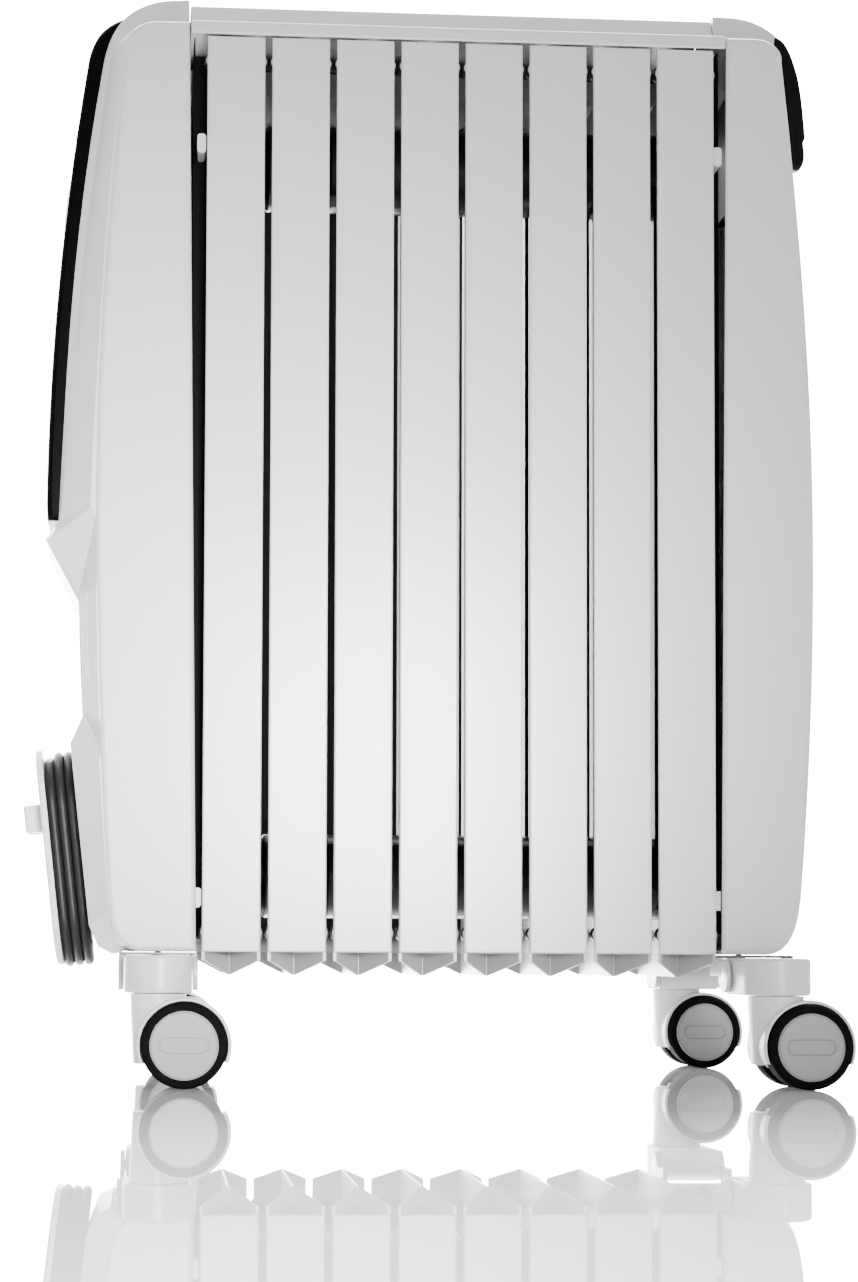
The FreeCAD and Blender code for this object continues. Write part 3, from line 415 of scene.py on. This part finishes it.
def winder_point(out, across, up):
    """A point given out from the cover, across and up, in metres."""
    x = -out * math.cos(WINDER_TILT) - up * math.sin(WINDER_TILT)
    z = -out * math.sin(WINDER_TILT) + up * math.cos(WINDER_TILT)
    return WINDER_PLACE + Vector((x, across, z))


def panel_frame(z):
    """The control panel's middle at a height, and the directions there: outward, across and up."""
    lean = (z - PANEL_ARC_Z) / PANEL_ARC_RADIUS
    place = Vector((PANEL_ARC_X + (z - PANEL_ARC_Z) ** 2 / (2 * PANEL_ARC_RADIUS), 0, z))
    outward = Vector((-math.cos(lean), 0, math.sin(lean)))
    up = Vector((math.sin(lean), 0, math.cos(lean)))
    return place, outward, Vector((0, 1, 0)), up


# ---------------------------------------------------------------- cord

def coil_place(fraction, radius):
    """A point (across, up) on a turn, from its top and round by the far side."""
    straight = COIL_TOP - COIL_BOTTOM
    along = (fraction % 1.0) * (2 * math.pi * radius + 2 * straight)
    quarter = math.pi * radius / 2
    if along < quarter:
        angle = along / radius
        return radius * math.sin(angle), COIL_TOP + radius * math.cos(angle)
    if along < quarter + straight:
        return radius, COIL_TOP - (along - quarter)
    if along < 3 * quarter + straight:
        angle = (along - quarter - straight) / radius
        return radius * math.cos(angle), COIL_BOTTOM - radius * math.sin(angle)
    if along < 3 * quarter + 2 * straight:
        return -radius, COIL_BOTTOM + (along - 3 * quarter - straight)
    angle = (along - 3 * quarter - 2 * straight) / radius
    return -radius * math.cos(angle), COIL_TOP + radius * math.sin(angle)


def smooth_step(value, start, end):
    """From 0 at the start to 1 at the end, with no corner at either."""
    part = min(1.0, max(0.0, (value - start) / (end - start)))
    return part * part * (3 - 2 * part)


def coil_points():
    """The turns: each lies beside or over the last, and steps across on the far side."""
    points = []
    for step in range(int(COIL_START * COIL_STEPS), int(COIL_END * COIL_STEPS)):
        progress = step / COIL_STEPS
        out, radius = COIL_TURNS[0]
        for number, (start, end) in enumerate(COIL_CROSSINGS):
            moved = smooth_step(progress, number + 1 + start, number + 1 + end)
            out += moved * (COIL_TURNS[number + 1][0] - COIL_TURNS[number][0])
            radius += moved * (COIL_TURNS[number + 1][1] - COIL_TURNS[number][1])
        sway = COIL_SWAY * math.sin(5 * progress) * smooth_step(progress, 3.2, 3.6)
        across, up = coil_place(progress, radius + sway)
        points.append(winder_point(out, across, up))
    return points


def mains_cord(material):
    """The whole cord as one curve: down from the strain relief, round the winder, and down to the plug."""
    lead = [(0.0065, 0.0495, 0.014), (0.0063, 0.049, -0.005),
            (0.0054, 0.0445, -0.023), (0.0044, 0.034, -0.038)]
    tail = [(0.0154, 0.020, 0.066), (0.0156, 0.038, 0.063), (0.0152, 0.0545, 0.054),
            (0.0146, 0.0665, 0.040), (0.0141, 0.073, 0.025), (0.014, 0.074, 0.010)]
    points = [winder_point(*place) for place in lead]
    points += coil_points()
    points += [winder_point(*place) for place in tail]
    curve = bpy.data.curves.new("mains_cord", "CURVE")
    curve.dimensions = "3D"
    curve.bevel_depth = CORD_DIAMETER / 2
    curve.bevel_resolution = 6
    curve.use_fill_caps = True
    line = curve.splines.new("NURBS")
    line.points.add(len(points) - 1)
    for place, point in zip(points, line.points):
        point.co = (*place, 1)
    line.order_u = 3
    line.use_endpoint_u = True
    line.resolution_u = 4
    curve.materials.append(material)
    cord = bpy.data.objects.new("mains_cord", curve)
    bpy.context.scene.collection.objects.link(cord)
    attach(cord, "heater")
    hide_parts("cord_lead", "cord_winding", "cord_tail")


# ---------------------------------------------------------------- markings

def flat_bar(mesh, place, outward, across, up, width, height):
    """A thin raised bar, sunk a little into the face it stands on."""
    low = place - outward * 0.0001
    high = place + outward * MARK_RISE
    half_width = width / 2
    half_height = height / 2
    corners = [(-half_width, -half_height), (half_width, -half_height),
               (half_width, half_height), (-half_width, half_height)]
    bottom = [mesh.verts.new(low + across * a + up * b) for a, b in corners]
    top = [mesh.verts.new(high + across * a + up * b) for a, b in corners]
    mesh.faces.new(top)
    mesh.faces.new(bottom[::-1])
    for index in range(4):
        after = (index + 1) % 4
        mesh.faces.new((bottom[index], bottom[after], top[after], top[index]))


def knob_scale(material):
    """A ring of pale marks round the knob that grow from low to high."""
    mesh = bmesh.new()
    place, outward, across, up = panel_frame(KNOB_Z)
    for index in range(SCALE_MARKS):
        part = index / (SCALE_MARKS - 1)
        angle = math.radians(SCALE_TURN * (part - 0.5))
        radial = up * math.cos(angle) - across * math.sin(angle)
        sideways = across * math.cos(angle) + up * math.sin(angle)
        spot = place + radial * SCALE_RADIUS
        face, outward = panel_frame(spot.z)[:2]
        spot.x = face.x
        flat_bar(mesh, spot, outward, sideways, radial, 0.0008, 0.0016 + 0.0028 * part)
    mesh_piece("knob_scale", mesh, material, "heater")


def knob_pointer(material):
    mesh = bmesh.new()
    place, outward, across, up = panel_frame(KNOB_Z)
    flat_bar(mesh, place + outward * 0.0022 - up * 0.0175, outward, across, up, 0.0014, 0.005)
    mesh_piece("knob_pointer", mesh, material, "thermostat_knob")


def switch_marks(material):
    """One bar over the first switch and two over the second."""
    mesh = bmesh.new()
    for y, bars in ((-0.012, 1), (0.012, 2)):
        for index in range(bars):
            offset = (index - (bars - 1) / 2) * 0.0022
            place, outward, across, up = panel_frame(SWITCH_Z + 0.0155)
            flat_bar(mesh, place + across * (y + offset), outward, across, up, 0.0009, 0.0045)
    mesh_piece("switch_marks", mesh, material, "heater")


# ---------------------------------------------------------------- trim

def rounded_loop(half_width, half_height, corner):
    """Places (across, up) round a rounded rectangle."""
    places = []
    for number, (a, b) in enumerate(((1, 1), (-1, 1), (-1, -1), (1, -1))):
        for step in range(7):
            angle = math.radians(90 * number + 90 * step / 6)
            places.append((a * (half_width - corner) + corner * math.cos(angle),
                           b * (half_height - corner) + corner * math.sin(angle)))
    return places


def raised_line(mesh, place, outward, across, up, shape, line, rise):
    """A raised line that follows a rounded rectangle of (half width, half height, corner)."""
    half_width, half_height, corner = shape
    outer = rounded_loop(half_width, half_height, corner)
    inner = rounded_loop(half_width - line, half_height - line, corner - line)
    low = place - outward * 0.0001
    high = place + outward * rise
    rings = [[mesh.verts.new(base + across * a + up * b) for a, b in places]
             for base, places in ((low, outer), (high, outer), (high, inner), (low, inner))]
    for ring, after in zip(rings, rings[1:] + rings[:1]):
        for index in range(len(outer)):
            step = (index + 1) % len(outer)
            mesh.faces.new((ring[index], ring[step], after[step], after[index]))


def hub_cap_trim(corner, material):
    """A plain raised panel outline and a rim line on both of a castor's hub caps."""
    low, high = [Vector(place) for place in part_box("wheels_" + corner)]
    middle = (low + high) / 2
    mesh = bmesh.new()
    for y, side in ((low.y, -1), (high.y, 1)):
        place = Vector((middle.x, y, middle.z))
        outward = Vector((0, side, 0))
        across = Vector((1, 0, 0))
        up = Vector((0, 0, 1))
        raised_line(mesh, place, outward, across, up, CAP_OUTLINE, 0.0008, 0.0004)
        raised_line(mesh, place, outward, across, up, CAP_RIM, 0.0006, 0.0003)
    bmesh.ops.recalc_face_normals(mesh, faces=mesh.faces)
    mesh_piece("hub_cap_trim_" + corner, mesh, material, "wheels_" + corner)


# ---------------------------------------------------------------- studio

def sheet(name, corners, material):
    """A flat four-cornered sheet of the studio."""
    mesh = bmesh.new()
    mesh.faces.new([mesh.verts.new(corner) for corner in corners])
    obj = add_mesh(name, mesh, material)


def studio_set():
    """A polished white floor in front of a glowing backdrop."""
    reach = FLOOR_REACH
    floor = ((-reach, -reach, 0), (reach, -reach, 0), (reach, reach, 0), (-reach, reach, 0))
    sheet("studio_floor", floor, floor_finish())
    left, right = BACKDROP_SIDES
    bottom, top = BACKDROP_HEIGHTS
    y = BACKDROP_Y
    backdrop = ((left, y, bottom), (right, y, bottom), (right, y, top), (left, y, top))
    sheet("backdrop", backdrop, backdrop_glow())


def soft_light(name, place, aim, width, height, power, spread):
    """A rectangular area light at a place, turned to its aim; the spread is in degrees."""
    data = bpy.data.lights.new(name, "AREA")
    data.shape = "RECTANGLE"
    data.size = width
    data.size_y = height
    data.energy = power
    data.spread = math.radians(spread)
    light = bpy.data.objects.new(name, data)
    bpy.context.scene.collection.objects.link(light)
    light.location = place
    light.rotation_euler = (Vector(aim) - Vector(place)).to_track_quat("-Z", "Y").to_euler()


def studio_lights():
    """A narrow low key from the front and a wide light overhead."""
    soft_light("key", (0.18, -2.3, 0.41), (-0.15, -0.12, 0.24), 0.5, 0.5, 2.5, 19)
    soft_light("overhead", (0, 1.05, 3.4), (0, 1.05, 0), 4.0, 1.9, 330, 180)


def studio_world():
    """White surroundings, three times as bright on the backdrop's side as on the camera's."""
    world = bpy.data.worlds.new("studio")
    world.use_nodes = True
    nodes = world.node_tree.nodes
    links = world.node_tree.links
    place = nodes.new("ShaderNodeTexCoord")
    parts = nodes.new("ShaderNodeSeparateXYZ")
    ramp = nodes.new("ShaderNodeMapRange")
    ramp.inputs["From Min"].default_value = -0.1
    ramp.inputs["From Max"].default_value = 0.5
    ramp.inputs["To Min"].default_value = 0.4
    ramp.inputs["To Max"].default_value = 1.2
    links.new(place.outputs["Generated"], parts.inputs["Vector"])
    links.new(parts.outputs["Y"], ramp.inputs["Value"])
    links.new(ramp.outputs["Result"], nodes["Background"].inputs["Strength"])
    nodes["Background"].inputs["Color"].default_value = (1, 1, 1, 1)
    bpy.context.scene.world = world


def place_camera():
    """The camera, fitted to the photo's view."""
    data = bpy.data.cameras.new("camera")
    data.lens = CAMERA_LENS
    data.sensor_width = 36
    data.shift_x, data.shift_y = CAMERA_SHIFT
    data.clip_start = 0.05
    camera = bpy.data.objects.new("camera", data)
    bpy.context.scene.collection.objects.link(camera)
    turn = Matrix.Rotation(math.radians(-CAMERA_YAW), 4, "Z")
    turn = turn @ Matrix.Rotation(math.radians(90 + CAMERA_PITCH), 4, "X")
    turn = turn @ Matrix.Rotation(math.radians(CAMERA_ROLL), 4, "Z")
    camera.matrix_world = Matrix.Translation(CAMERA_PLACE) @ turn
    bpy.context.scene.camera = camera


place_camera()
studio_set()
studio_lights()
studio_world()
finishes = paint_by_slot()
for number in range(1, 9):
    soften_edges("element_" + str(number), 0.0003)
soften_edges("top_cover", 0.001)
soften_edges("winder_flange", 0.0006)
soften_edges("castor_brackets", 0.0004)
mains_cord(finishes["cord_sheath"])
ink = marking_ink()
knob_scale(ink)
knob_pointer(ink)
switch_marks(ink)
line = hub_cap_line()
for corner in CORNERS:
    hub_cap_trim(corner, line)
